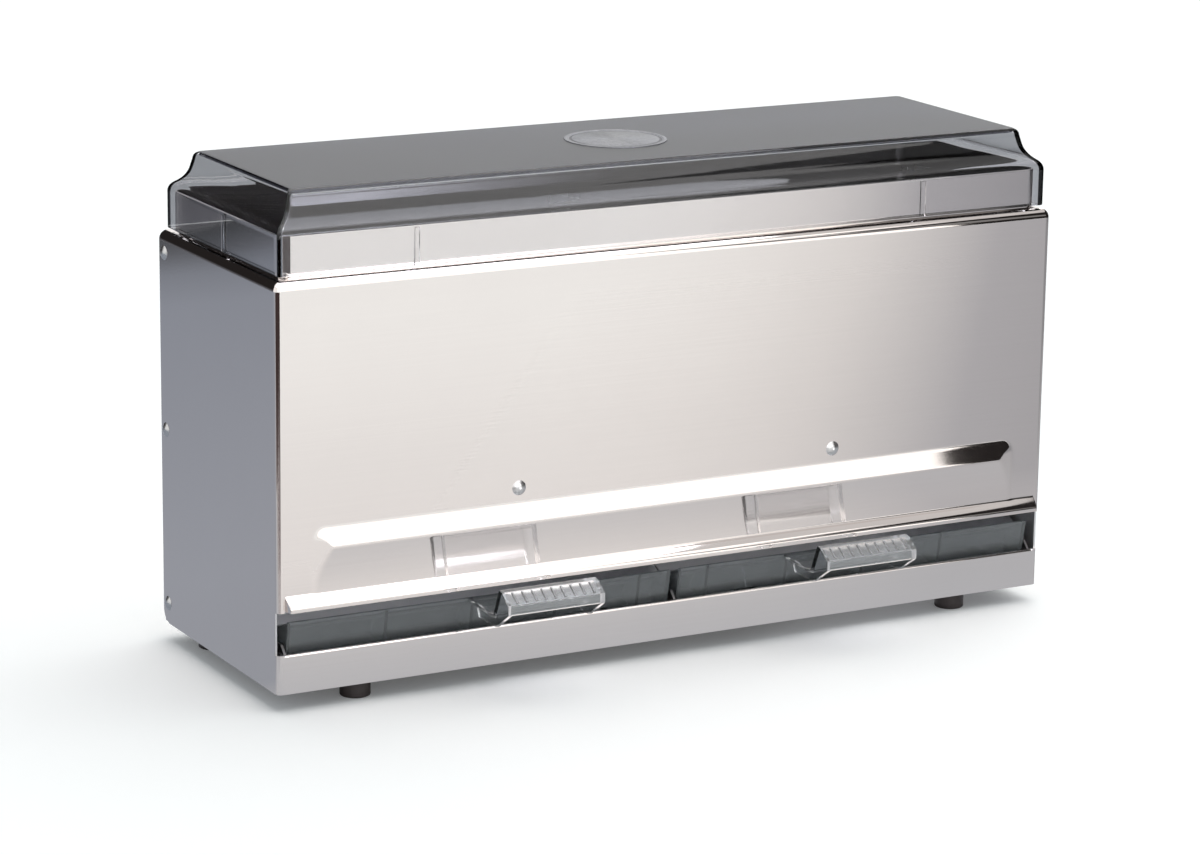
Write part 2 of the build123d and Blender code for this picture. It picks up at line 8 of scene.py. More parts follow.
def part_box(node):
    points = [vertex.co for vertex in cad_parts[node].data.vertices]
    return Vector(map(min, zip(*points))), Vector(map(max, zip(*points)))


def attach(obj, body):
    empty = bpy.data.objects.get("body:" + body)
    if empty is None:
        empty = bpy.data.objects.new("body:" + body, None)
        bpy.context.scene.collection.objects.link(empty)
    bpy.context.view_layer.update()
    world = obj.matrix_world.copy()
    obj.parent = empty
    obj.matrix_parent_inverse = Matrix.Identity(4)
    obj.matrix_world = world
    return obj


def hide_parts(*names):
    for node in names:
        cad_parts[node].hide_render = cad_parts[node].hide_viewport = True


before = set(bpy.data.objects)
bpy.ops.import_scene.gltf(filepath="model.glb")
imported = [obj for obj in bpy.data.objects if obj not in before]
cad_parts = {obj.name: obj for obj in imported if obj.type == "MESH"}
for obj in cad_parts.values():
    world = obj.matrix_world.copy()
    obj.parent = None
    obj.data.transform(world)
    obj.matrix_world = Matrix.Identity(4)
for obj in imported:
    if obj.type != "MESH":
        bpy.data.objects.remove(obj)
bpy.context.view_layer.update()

# Camera
# The photograph is taken from the left of the front and a little above the lid, with a long lens. The
# camera's place, turn and lens follow from six corners of the case in it.
camera_place = Vector((-0.963, -1.7233, 0.5983))
camera_turn = math.radians(28.75)
camera_tip = math.radians(14.03)
camera_roll = math.radians(0.78)
camera_lens = 121.8
camera_data = bpy.data.cameras.new("camera")
camera_data.lens = camera_lens
camera_data.sensor_width = 36.0
camera_data.sensor_fit = "HORIZONTAL"
camera_data.clip_start = 0.02
camera_data.clip_end = 60.0
camera = bpy.data.objects.new("camera", camera_data)
camera.matrix_world = (Matrix.Translation(camera_place) @ Matrix.Rotation(-camera_turn, 4, "Z")
                       @ Matrix.Rotation(math.pi / 2 - camera_tip, 4, "X")
                       @ Matrix.Rotation(camera_roll, 4, "Z"))
bpy.context.scene.collection.objects.link(camera)
bpy.context.scene.camera = camera
bpy.context.scene.view_settings.view_transform = "Standard"

# Studio floor and backdrop
# One pale sweep under and behind the object, wide enough for every view. Seen straight on it is white,
# and it keeps the object's soft shadow. Behind the object it looks grey through the smoked plastic, as
# the backdrop does in the photograph.
floor_half = 6.0
floor_colour = (0.92, 0.93, 0.935, 1.0)
floor_through_plastic = (0.40, 0.41, 0.43, 1.0)
backdrop_start = 0.3
camera_lift = 0.10
weld_distance = 1e-6


def add(tree, kind, **values):
    """A node of this kind, with its inputs or settings given by name."""
    node = tree.nodes.new(kind)
    for name, value in values.items():
        if name in node.inputs:
            node.inputs[name].default_value = value
        else:
            setattr(node, name, value)
    return node


def nodes_of(material):
    """A material's node tree and its Principled shader."""
    material.use_nodes = True
    tree = material.node_tree
    return tree, tree.nodes["Principled BSDF"]


def finish_mesh(name, bm, materials, sharp=35.0):
    """Make an object of a finished bmesh, smooth but for edges sharper than this angle."""
    bmesh.ops.remove_doubles(bm, verts=bm.verts, dist=weld_distance)
    bmesh.ops.recalc_face_normals(bm, faces=bm.faces)
    limit = math.radians(sharp)
    for edge in bm.edges:
        edge.smooth = len(edge.link_faces) == 2 and edge.calc_face_angle(0.0) < limit
    for face in bm.faces:
        face.smooth = True
    mesh = bpy.data.meshes.new(name)
    bm.to_mesh(mesh)
    bm.free()
    for material in materials:
        mesh.materials.append(material)
    piece = bpy.data.objects.new(name, mesh)
    bpy.context.scene.collection.objects.link(piece)
    return piece


bm = bmesh.new()
bmesh.ops.create_grid(bm, x_segments=2, y_segments=2, size=floor_half)
floor_material = bpy.data.materials.new("studio_floor")
tree, shader = nodes_of(floor_material)
shader.inputs["Roughness"].default_value = 0.9
shader.inputs["Specular IOR Level"].default_value = 0.0
shader.inputs["Emission Color"].default_value = (1.0, 1.0, 1.0, 1.0)
paths = add(tree, "ShaderNodeLightPath")
tone = add(tree, "ShaderNodeMix", data_type="RGBA")
tone.inputs["A"].default_value = floor_colour
tone.inputs["B"].default_value = floor_through_plastic
coords = add(tree, "ShaderNodeTexCoord")
place = add(tree, "ShaderNodeSeparateXYZ")
tree.links.new(coords.outputs["Object"], place.inputs["Vector"])
behind = add(tree, "ShaderNodeMath", operation="GREATER_THAN")
behind.inputs[1].default_value = backdrop_start
tree.links.new(place.outputs["Y"], behind.inputs[0])
through = add(tree, "ShaderNodeMath", operation="MULTIPLY")
tree.links.new(behind.outputs[0], through.inputs[0])
tree.links.new(paths.outputs["Is Transmission Ray"], through.inputs[1])
tree.links.new(through.outputs[0], tone.inputs["Factor"])
tree.links.new(tone.outputs["Result"], shader.inputs["Base Color"])
lift = add(tree, "ShaderNodeMath", operation="MULTIPLY")
lift.inputs[1].default_value = camera_lift
tree.links.new(paths.outputs["Is Camera Ray"], lift.inputs[0])
tree.links.new(lift.outputs[0], shader.inputs["Emission Strength"])
floor = finish_mesh("studio_floor", bm, [floor_material])

# Studio room and lamp
# White walls all round, which fill the shadows with a slightly cool light, and one broad soft lamp high
# behind the right-hand end.
wall_fill = (0.40, 0.43, 0.44, 1.0)
wall_through_plastic = (0.44, 0.45, 0.48, 1.0)
world = bpy.data.worlds.new("studio")
bpy.context.scene.world = world
world.use_nodes = True
tree = world.node_tree
background = tree.nodes["Background"]
paths = add(tree, "ShaderNodeLightPath")
white = add(tree, "ShaderNodeMath", operation="MAXIMUM")
tree.links.new(paths.outputs["Is Camera Ray"], white.inputs[0])
tree.links.new(paths.outputs["Is Glossy Ray"], white.inputs[1])
walls = add(tree, "ShaderNodeMix", data_type="RGBA")
walls.inputs["A"].default_value = wall_fill
walls.inputs["B"].default_value = (1.0, 1.0, 1.0, 1.0)
tree.links.new(white.outputs[0], walls.inputs["Factor"])
shade = add(tree, "ShaderNodeMix", data_type="RGBA")
tree.links.new(walls.outputs["Result"], shade.inputs["A"])
shade.inputs["B"].default_value = wall_through_plastic
tree.links.new(paths.outputs["Is Transmission Ray"], shade.inputs["Factor"])
tree.links.new(shade.outputs["Result"], background.inputs["Color"])

lamp_direction = Vector((0.52, 0.14, 1.0))
lamp_data = bpy.data.lights.new("soft_lamp", "SUN")
lamp_data.energy = 2.25
lamp_data.angle = math.radians(88.0)
lamp_data.color = (1.0, 0.985, 0.965)
lamp = bpy.data.objects.new("soft_lamp", lamp_data)
lamp.matrix_world = lamp_direction.to_track_quat("Z", "Y").to_matrix().to_4x4()
bpy.context.scene.collection.objects.link(lamp)

# Cards round the object
# Glowing cards stand where a photographer's boards would. The steel is nearly a mirror, so pale ones light
# its slopes, and grey and dark ones give its fronts and bends their tone. They show only in reflections
# and through the plastic, and they cast no shadow.
panel_white = (1.4, 1.38, 1.36)
strip_white = (2.8, 2.82, 3.0)
band_white = (5.2, 5.2, 5.8)
room_grey = (0.62, 0.61, 0.61)
flag_grey = (0.22, 0.22, 0.22)
room_dark = (0.018, 0.016, 0.016)
far_pale = (0.83, 0.83, 0.835)
panel_left = -1.4
room_front = -1.2
room_right = 1.15
room_back = 1.06
ceiling = 1.3
card_foot = 0.02
card_lift = 0.001
flag_left, flag_right, flag_split = 0.905, 1.1, 0.45
flag_depth = room_front + 0.01
screen_left, screen_right, screen_split = -1.6, 0.04, 0.14
band_left, band_right = -0.6, 0.62
floor_left, floor_right, floor_near = -0.6, 0.8, -0.05
origin = (0, 0, 0)
rightwards = (1, 0, 0)


def reflector(name, corners, start, end, stops):
    """A card between these corners. Its tone runs from start to end through stops, each a share of the
    way, a colour and how much it covers."""
    bm = bmesh.new()
    bm.faces.new([bm.verts.new(corner) for corner in corners])
    material = bpy.data.materials.new(name)
    material.use_nodes = True
    tree = material.node_tree
    tree.nodes.clear()
    run = Vector(end) - Vector(start)
    coords = add(tree, "ShaderNodeTexCoord")
    offset = add(tree, "ShaderNodeVectorMath", operation="SUBTRACT")
    offset.inputs[1].default_value = start
    tree.links.new(coords.outputs["Object"], offset.inputs[0])
    share = add(tree, "ShaderNodeVectorMath", operation="DOT_PRODUCT")
    share.inputs[1].default_value = run / run.length_squared
    tree.links.new(offset.outputs["Vector"], share.inputs[0])
    ramp = add(tree, "ShaderNodeValToRGB")
    tree.links.new(share.outputs["Value"], ramp.inputs["Fac"])
    elements = ramp.color_ramp.elements
    while len(elements) < len(stops):
        elements.new(0.5)
    for element, (place, colour, cover) in zip(elements, stops):
        element.position = place
        element.color = (*colour, cover)
    glow = add(tree, "ShaderNodeEmission")
    tree.links.new(ramp.outputs["Color"], glow.inputs["Color"])
    clear = add(tree, "ShaderNodeBsdfTransparent")
    mixed = add(tree, "ShaderNodeMixShader")
    tree.links.new(ramp.outputs["Alpha"], mixed.inputs[0])
    tree.links.new(clear.outputs[0], mixed.inputs[1])
    tree.links.new(glow.outputs[0], mixed.inputs[2])
    output = add(tree, "ShaderNodeOutputMaterial")
    tree.links.new(mixed.outputs[0], output.inputs["Surface"])
    mesh = bpy.data.meshes.new(name)
    bm.to_mesh(mesh)
    bm.free()
    mesh.materials.append(material)
    piece = bpy.data.objects.new(name, mesh)
    piece.visible_camera = False
    piece.visible_diffuse = False
    piece.visible_shadow = False
    bpy.context.scene.collection.objects.link(piece)


def even(colour):
    """Stops for a card of one tone."""
    return [(0.0, colour, 1.0), (1.0, colour, 1.0)]


def level_card(name, left, right, first, last, height, stops, start=origin, end=rightwards):
    """A level card whose depth runs from first to last."""
    corners = [(left, first, height), (right, first, height), (right, last, height), (left, last, height)]
    reflector(name, corners, start, end, stops)


def upright_card(name, left, right, low, high, depth, stops, start=origin, end=rightwards):
    """An upright card that faces the object's front or back."""
    corners = [(left, depth, low), (right, depth, low), (right, depth, high), (left, depth, high)]
    reflector(name, corners, start, end, stops)


level_card("overhead_panel_light", panel_left, 0.96, -1.6, -0.6, ceiling, even(panel_white))
level_card("overhead_strip_light", panel_left, 0.70, -0.6, 0.25, ceiling, even(strip_white))
level_card("right_grey_ceiling", 0.6, 1.05, -1.6, 0.6, ceiling + 0.01, even(room_grey))
level_card("right_dark_ceiling", 0.6, 2.6, -1.6, 0.6, ceiling + 0.02, even(room_dark))

upright_card("front_panel_light", panel_left, 1.0, 0.1, ceiling, room_front, even(panel_white))
upright_card("lid_band_light", band_left, band_right, 0.43, 0.62, room_front + 0.02,
             [(0.0, band_white, 1.0), (0.80, band_white, 1.0), (1.0, (2.0, 2.0, 2.2), 0.0)],
             (band_left, 0, 0), (band_right, 0, 0))
upright_card("right_dark_flag", flag_left, flag_right, card_foot, flag_split, flag_depth, even(room_dark))
reflector("right_dim_flag",
          [(flag_left, flag_depth, flag_split), (flag_right, flag_depth, flag_split),
           (flag_right, flag_depth, 1.05), (0.70, flag_depth, 1.05), (0.74, flag_depth, 0.60)],
          origin, rightwards, even(flag_grey))
upright_card("right_dark_front", 0.9, 2.6, card_foot, ceiling, room_front - 0.01, even(room_dark))
reflector("right_dark_screen",
          [(room_right, room_front, card_foot), (room_right, 0.6, card_foot),
           (room_right, 0.6, ceiling), (room_right, room_front, ceiling)],
          origin, rightwards, even(room_dark))

upright_card("back_dark_screen", screen_left, screen_right, screen_split, 0.85, room_back, even(room_dark))
upright_card("back_dim_screen", screen_left, screen_right, 0.002, screen_split, room_back,
             [(0.0, (0.13, 0.135, 0.155), 1.0), (0.4, (0.085, 0.088, 0.10), 1.0),
              (1.0, (0.05, 0.05, 0.055), 1.0)],
             origin, (0, 0, screen_split))

# The wedge card on the right is a painted shade: it stands for the floor darkened beside the dark flag, as
# the steel shows it.
wedge = math.radians(36.3)
wedge_along = Vector((math.sin(wedge), -math.cos(wedge), 0.0))
wedge_across = Vector((math.cos(wedge), math.sin(wedge), 0.0))
wedge_root = Vector((0.045, -0.05, 2 * card_lift))
wedge_near = wedge_root - 0.2 * wedge_across
wedge_far = wedge_root + 1.2 * wedge_across
wedge_reach = 1.4 * wedge_along
reflector("right_floor_shade_card", [wedge_near, wedge_far, wedge_far + wedge_reach, wedge_near + wedge_reach],
          wedge_near, wedge_root + 0.32 * wedge_across,
          [(0.0, (0.9, 0.9, 0.9), 0.0), (0.22, (0.80, 0.80, 0.80), 0.5), (0.35, (0.71, 0.71, 0.715), 0.75),
           (0.54, (0.45, 0.46, 0.49), 1.0), (1.0, (0.28, 0.29, 0.31), 1.0)])
level_card("far_pale_card", floor_left, floor_right, floor_near, -0.80, card_lift,
           [(0.0, far_pale, 0.9), (0.25, far_pale, 0.9), (0.56, (0.78, 0.78, 0.785), 0.5),
            (1.0, (0.9, 0.9, 0.9), 0.0)],
           (0, floor_near, 0), (0, -0.80, 0))
# A painted shadow: this card stands for the floor darkened close to the case, as the steel and the plastic
# show it.
level_card("near_floor_shade_card", floor_left, floor_right, floor_near, -0.27, 3 * card_lift,
           [(0.0, (0.49, 0.515, 0.555), 0.95), (0.29, (0.50, 0.525, 0.56), 0.80),
            (0.65, (0.60, 0.605, 0.62), 0.35), (1.0, (0.75, 0.75, 0.76), 0.0)],
           (0, floor_near, 0), (0, -0.27, 0))
level_card("left_blue_card", panel_left, -0.2, -0.12, room_back, card_lift,
           [(0.0, (0.40, 0.41, 0.45), 0.0), (0.1, (0.325, 0.353, 0.403), 1.0),
            (0.25, (0.33, 0.36, 0.415), 1.0), (0.78, (0.27, 0.30, 0.355), 1.0),
            (0.86, (0.22, 0.245, 0.29), 1.0), (0.92, (0.12, 0.13, 0.15), 1.0),
            (1.0, (0.05, 0.055, 0.06), 1.0)],
           (0, -0.12, 0), (0, room_back, 0))
reflector("left_brown_card",
          [(-0.26, -0.08, card_lift), (-0.30, room_front, card_lift), (panel_left, room_front, card_lift),
           (panel_left, -0.10, card_lift)],
          (-0.26, -0.10, 0), (-0.70, -0.50, 0),
          [(0.0, (0.24, 0.21, 0.22), 1.0), (0.4, (0.14, 0.11, 0.115), 1.0),
           (1.0, (0.05, 0.035, 0.035), 1.0)])

# Case wrap
# One sheet of bright annealed stainless, 0.9 mm thick, makes the front, both sides and the narrow
# shoulder under the lid. The front has a pressed step with rounded ends and, below it, a lip rolled
# outwards over the slot. The sheet is a soft mirror with a faint rolling grain and very slight waves.
mm = 0.001


def surface_group(name, inputs, outputs):
    """A node group for an effect on a surface, with its sockets."""
    group = bpy.data.node_groups.new(name, "ShaderNodeTree")
    for label, value in inputs:
        kind = "NodeSocketVector" if isinstance(value, tuple) else "NodeSocketFloat"
        socket = group.interface.new_socket(label, in_out="INPUT", socket_type=kind)
        socket.default_value = value
    for label in outputs:
        group.interface.new_socket(label, in_out="OUTPUT", socket_type="NodeSocketFloat")
    return group, add(group, "NodeGroupInput"), add(group, "NodeGroupOutput")


rolled, given, result = surface_group(
    "rolled_finish",
    [("Stretch", (6.0, 900.0, 900.0)), ("Smear scale", 22.0), ("Roughness", 0.1), ("Roughness spread", 0.04),
     ("Grain", 0.2), ("Waves", 1.0)],
    ["Tone", "Roughness", "Height"])
coords = add(rolled, "ShaderNodeTexCoord")
stretch = add(rolled, "ShaderNodeMapping")
rolled.links.new(coords.outputs["Object"], stretch.inputs["Vector"])
rolled.links.new(given.outputs["Stretch"], stretch.inputs["Scale"])
grain = add(rolled, "ShaderNodeTexNoise", Scale=1.0, Detail=3.0, Roughness=0.6)
rolled.links.new(stretch.outputs["Vector"], grain.inputs["Vector"])
waves = add(rolled, "ShaderNodeTexNoise", Scale=7.0, Detail=1.0, Roughness=0.4)
rolled.links.new(coords.outputs["Object"], waves.inputs["Vector"])
smears = add(rolled, "ShaderNodeTexNoise", Detail=4.0, Roughness=0.6)
rolled.links.new(coords.outputs["Object"], smears.inputs["Vector"])
rolled.links.new(given.outputs["Smear scale"], smears.inputs["Scale"])
centred = add(rolled, "ShaderNodeMath", operation="SUBTRACT")
centred.inputs[1].default_value = 0.5
rolled.links.new(smears.outputs["Fac"], centred.inputs[0])
spread = add(rolled, "ShaderNodeMath", operation="MULTIPLY_ADD")
rolled.links.new(centred.outputs[0], spread.inputs[0])
rolled.links.new(given.outputs["Roughness spread"], spread.inputs[1])
rolled.links.new(given.outputs["Roughness"], spread.inputs[2])
rolled.links.new(spread.outputs[0], result.inputs["Roughness"])
mixed = add(rolled, "ShaderNodeMath", operation="MULTIPLY_ADD")
mixed.inputs[1].default_value = 0.5
rolled.links.new(grain.outputs["Fac"], mixed.inputs[0])
halved = add(rolled, "ShaderNodeMath", operation="MULTIPLY")
halved.inputs[1].default_value = 0.5
rolled.links.new(smears.outputs["Fac"], halved.inputs[0])
rolled.links.new(halved.outputs[0], mixed.inputs[2])
rolled.links.new(mixed.outputs[0], result.inputs["Tone"])
grained = add(rolled, "ShaderNodeMath", operation="MULTIPLY")
rolled.links.new(grain.outputs["Fac"], grained.inputs[0])
rolled.links.new(given.outputs["Grain"], grained.inputs[1])
total = add(rolled, "ShaderNodeMath", operation="MULTIPLY_ADD")
rolled.links.new(waves.outputs["Fac"], total.inputs[0])
rolled.links.new(given.outputs["Waves"], total.inputs[1])
rolled.links.new(grained.outputs[0], total.inputs[2])
rolled.links.new(total.outputs[0], result.inputs["Height"])


def steel(name, light, dark, bump, **finish):
    """Steel whose tone runs between two colours, with the rolled finish's values given by name."""
    material = bpy.data.materials.new(name)
    tree, shader = nodes_of(material)
    shader.inputs["Metallic"].default_value = 1.0
    surface = add(tree, "ShaderNodeGroup", node_tree=rolled)
    for label, value in finish.items():
        surface.inputs[label.replace("_", " ").capitalize()].default_value = value
    tone = add(tree, "ShaderNodeMix", data_type="RGBA")
    tone.inputs["A"].default_value = (*dark, 1.0)
    tone.inputs["B"].default_value = (*light, 1.0)
    tree.links.new(surface.outputs["Tone"], tone.inputs["Factor"])
    tree.links.new(tone.outputs["Result"], shader.inputs["Base Color"])
    tree.links.new(surface.outputs["Roughness"], shader.inputs["Roughness"])
    relief = add(tree, "ShaderNodeBump", Strength=bump, Distance=0.0006)
    tree.links.new(surface.outputs["Height"], relief.inputs["Height"])
    tree.links.new(relief.outputs["Normal"], shader.inputs["Normal"])
    return material


bright_steel = steel("bright_steel", (0.905, 0.845, 0.81), (0.85, 0.79, 0.76), 0.05,
                     roughness=0.04, roughness_spread=0.03, grain=0.2)
# The inner steel is darkened far below bare steel, as painted shade for the dim inside of the case.
inner_steel = steel("inner_steel", (0.27, 0.26, 0.26), (0.20, 0.195, 0.20), 0.25,
                    roughness=0.34, roughness_spread=0.10, grain=1.0)
mill_steel = steel("mill_steel", (0.80, 0.80, 0.80), (0.68, 0.68, 0.69), 0.25,
                   roughness=0.42, roughness_spread=0.10, grain=1.0)

# Heights on the front are over the wrap's bottom edge, and support is how far from a bend its nearest
# row of vertices lies.
wrap_low, wrap_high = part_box("housing_wrap")
half_length = wrap_high.x
wrap_back = wrap_high.y
wrap_foot = wrap_low.z
case_top = wrap_high.z
bend = 3.0 * mm
sheet = 0.9 * mm
lip_rise = 5.0 * mm
front = wrap_low.y + lip_rise
shoulder = 6.0 * mm
step_top, step_crest, step_rise = 79.5 * mm, 70.0 * mm, 2.7 * mm
step_end, step_round = half_length - 18.5 * mm, 6.5 * mm
lip_top, lip_nose, lip_bottom, lip_root = 47.6 * mm, 42.3 * mm, 41.0 * mm, 0.3 * mm
lip_end, lip_slope = half_length - 4.0 * mm, 0.9 * mm
slot_low, slot_high, slot_roll, slot_depth = 19.3 * mm, 40.0 * mm, 1.0 * mm, 0.9 * bend
top_bend = 4.5 * mm
rear_round = 7.0 * mm
support = 0.2 * mm
step_crease, step_foot, lip_crease, lip_fade = 0.45 * mm, 0.4 * mm, 0.5 * mm, 0.6


def soft_min(a, b, width):
    """The smaller of two heights, with the crease between them rounded."""
    near = max(width - abs(a - b), 0.0) / width
    return min(a, b) - near * near * width / 4


def front_rise(x, height):
    """How far the front stands out from its flat sheet at this place."""
    across = abs(x) - step_end + step_round
    up = height - step_top + step_round
    inside = step_round - (math.hypot(across, up) if across > 0 and up > 0 else max(across, up))
    upper = inside * step_rise / (step_top - step_crest)
    share = max(0.0, (height - lip_top) / (step_crest - lip_top))
    lower = lip_root + share * share * (step_rise - lip_root)
    step = soft_min(upper, lower, step_crease)
    step = -soft_min(-step, 0.0, step_foot)
    out = soft_min((lip_top - height) / (lip_top - lip_nose), (lip_end - abs(x)) / lip_slope, lip_fade)
    lip = lip_root + (lip_rise - lip_root) * math.sin(max(-1.0, min(1.0, out)) * math.pi / 2)
    return min(-soft_min(-step, -lip, lip_crease), lip_rise)


def spaced(start, stop, count):
    """Evenly spaced values after start, up to and with stop."""
    return [start + (stop - start) * (index + 1) / count for index in range(count)]


def at_inset(place, inset):
    """A point of the case's outline, moved in towards the middle round the same bend."""
    straight = half_length - bend
    core = Vector((max(-straight, min(straight, place.x)), max(front + bend, place.y), 0))
    if inset < bend:
        flat = Vector((place.x, place.y, 0))
        return core + (flat - core) * (1 - inset / bend)
    limit = half_length - inset
    return Vector((max(-limit, min(limit, core.x)), max(front + inset, core.y), 0))


bm = bmesh.new()
bend_steps = 8
row = [bm.verts.new((-half_length, wrap_back, wrap_foot))]


def run_to(x, y):
    """Carry the outline on in a straight line to this point."""
    made = bmesh.ops.extrude_vert_indiv(bm, verts=[row[-1]])["verts"][0]
    made.co = (x, y, wrap_foot)
    row.append(made)


def bend_round(x, y):
    """Carry the outline on round a quarter bend about this point."""
    centre = Vector((x, y, wrap_foot))
    bmesh.ops.spin(bm, geom=[row[-1]], cent=centre, axis=(0, 0, 1), angle=math.pi / 2, steps=bend_steps,
                   use_duplicate=False)
    start = (row[-1].co - centre).normalized()
    found = [vert for vert in bm.verts if vert not in row]
    row.extend(sorted(found, key=lambda vert: start.angle((vert.co - centre).normalized())))


# Places round the outline, closer together where the lip and the step end
rear_line = wrap_back - rear_round - 1 * mm
for y in [rear_line] + spaced(rear_line, front + bend + support, 8) + [front + bend]:
    run_to(-half_length, y)
bend_round(-half_length + bend, front + bend)
ends = [-half_length + bend + support, -lip_end - 0.4 * mm]
ends += spaced(ends[-1], -lip_end + 1.4 * mm, 18)
ends += spaced(ends[-1], -step_end - 0.8 * mm, 8)
ends += spaced(ends[-1], -step_end + 12 * mm, 40)
middle = spaced(ends[-1], -ends[-1], 24)
for x in ends + middle + [-x for x in ends[-2::-1]] + [half_length - bend]:
    run_to(x, front)
bend_round(half_length - bend, front + bend)
for y in [front + bend + support] + spaced(front + bend + support, rear_line, 8) + [wrap_back]:
    run_to(half_length, y)

# Levels up the wrap, closer together round the lip and the edges of the step
roll_steps = 4
levels = spaced(0, rear_round, 6) + [slot_low - slot_roll - support]
levels += [slot_low - slot_roll + slot_roll * math.sin(step / roll_steps * math.pi / 2)
           for step in range(roll_steps + 1)]
levels += [slot_high, lip_bottom]
levels += spaced(lip_bottom, lip_top + 2 * mm, 26) + spaced(lip_top + 2 * mm, step_crest - 3 * mm, 8)
levels += spaced(step_crest - 3 * mm, step_top + 3 * mm, 30)
levels += spaced(step_top + 3 * mm, case_top - wrap_foot - top_bend - support, 10)
levels += [case_top - wrap_foot - top_bend]
edges = bm.edges[:]
outline = [vert.co.copy() for vert in row]


def raise_row(bm, row, edges, places):
    """Extrude the last row's edges, put the new vertices at these places and make them the last row."""
    index_of = {vert: index for index, vert in enumerate(row)}
    made = bmesh.ops.extrude_edge_only(bm, edges=edges)["geom"]
    for vert in [item for item in made if isinstance(item, bmesh.types.BMVert)]:
        below = [edge.other_vert(vert) for edge in vert.link_edges]
        index = [index_of[other] for other in below if other in index_of][0]
        vert.co = places[index]
        row[index] = vert
    return [item for item in made if isinstance(item, bmesh.types.BMEdge)]


for height in levels:
    places = [Vector((place.x, place.y, wrap_foot + height)) for place in outline]
    rolled_in = max(0.0, height - slot_low + slot_roll)
    for place in places:
        if abs(place.y - front) < weld_distance and height >= lip_bottom:
            place.y -= front_rise(place.x, height)
        elif abs(place.y - front) < weld_distance and height <= slot_low:
            inward = slot_roll - math.sqrt(slot_roll ** 2 - min(rolled_in, slot_roll) ** 2)
            place.y += inward * max(0.0, min(1.0, (half_length - bend - abs(place.x)) / slot_roll))
    edges = raise_row(bm, row, edges, places)
for step in range(1, bend_steps + 1):
    angle = step / bend_steps * math.pi / 2
    rise = Vector((0, 0, case_top - top_bend + top_bend * math.sin(angle)))
    inset = top_bend * (1 - math.cos(angle))
    edges = raise_row(bm, row, edges, [at_inset(place, inset) + rise for place in outline])
rise = Vector((0, 0, case_top))
for inset in (top_bend + support, shoulder):
    edges = raise_row(bm, row, edges, [at_inset(place, inset) + rise for place in outline])
slot_faces = []
for face in bm.faces:
    middle_of = face.calc_center_median()
    if middle_of.y < front + slot_depth and wrap_foot + slot_low < middle_of.z < wrap_foot + lip_bottom:
        if middle_of.z < wrap_foot + slot_high or abs(middle_of.x) < lip_end:
            slot_faces.append(face)
bmesh.ops.delete(bm, geom=slot_faces, context="FACES")
for vert in bm.verts:
    height = vert.co.z - wrap_foot
    if height < rear_round and vert.co.y > wrap_back - weld_distance:
        vert.co.y = wrap_back - rear_round + math.sqrt(rear_round ** 2 - (rear_round - height) ** 2)
bmesh.ops.remove_doubles(bm, verts=bm.verts, dist=weld_distance)
bmesh.ops.recalc_face_normals(bm, faces=bm.faces)
sample = min(bm.faces, key=lambda face: face.calc_center_median().y)
if sample.normal.y > 0:
    bmesh.ops.reverse_faces(bm, faces=bm.faces)
bmesh.ops.solidify(bm, geom=bm.faces[:], thickness=sheet)
case_wrap = finish_mesh("case_wrap", bm, [bright_steel, mill_steel])
body_middle = (front + wrap_back) / 2
looks_in, looks_down = -25 * mm, -0.9


# On the wrap the second material is its dull mill side; on the back panel and the neck it is the darkened
# inner steel, a painted shade.
def dull_and_shade_inside(piece):
    """Give the second material to the faces that look in towards the middle of the case, or down."""
    for polygon in piece.data.polygons:
        place, facing = polygon.center, polygon.normal
        inward = min(facing.x * place.x, facing.y * (place.y - body_middle))
        polygon.material_index = int(inward < looks_in or facing.z < looks_down)


dull_and_shade_inside(case_wrap)
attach(case_wrap, "case")
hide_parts("housing_wrap")

# Back panel
# The back is a second sheet of the same bright steel, bent forwards along its sides and riveted inside
# the wrap, and bent over the top like the wrap's shoulder.


def stand_for(node, name, body, materials, sharp=30.0):
    """A piece with the node's own shape, its doubled vertices merged so that its bends are smooth."""
    bm = bmesh.new()
    bm.from_mesh(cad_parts[node].data)
    piece = finish_mesh(name, bm, materials, sharp)
    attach(piece, body)
    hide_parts(node)
    return piece


# The back panel's inward faces take the darkened inner steel as painted shade.
dull_and_shade_inside(stand_for("back_panel", "rear_panel", "case", [bright_steel, inner_steel]))

# Rivets
# Round-head steel rivets: three hold each side to the back panel, two hold the flow guides to the front
# and two hold each rod bracket to the pan.
rivet_steel = steel("rivet_steel", (0.74, 0.73, 0.72), (0.60, 0.60, 0.60), 0.15,
                    stretch=(300.0, 300.0, 300.0), roughness=0.30, roughness_spread=0.10, grain=0.3)
for place in ("left_side", "right_side", "front", "bracket"):
    stand_for(f"{place}_rivets", f"{place}_rivet_heads", "case", [rivet_steel])

# Sheet parts inside
# The pan that closes the bottom and the rod brackets on it are dull sheet with marks from forming, its tone
# darkened far below bare steel as painted shade for the dim inside of the case. The sloping hopper floors,
# the flow guides and the divider, along which the straws slide, are paler mill sheet.
stand_for("base_pan", "bottom_pan", "case", [inner_steel])
for place in ("left", "right", "centre"):
    stand_for(f"{place}_rod_bracket", f"{place}_bracket", "case", [inner_steel])
for side in ("left", "right"):
    stand_for(f"{side}_hopper_floor", f"{side}_sloping_floor", "case", [mill_steel])
for side in ("left", "right"):
    stand_for(f"{side}_flow_guide", f"{side}_guide_leaf", "case", [mill_steel])
stand_for("hopper_divider", "bay_divider", "case", [mill_steel])

# Neck
# The upright neck that the lid drops over is a closed band of the same bright steel as the case, with
# rounded corners, welded under the shoulder.
# The neck's inward faces take the darkened inner steel as painted shade.
dull_and_shade_inside(stand_for("top_collar", "neck_band", "case", [bright_steel, inner_steel]))

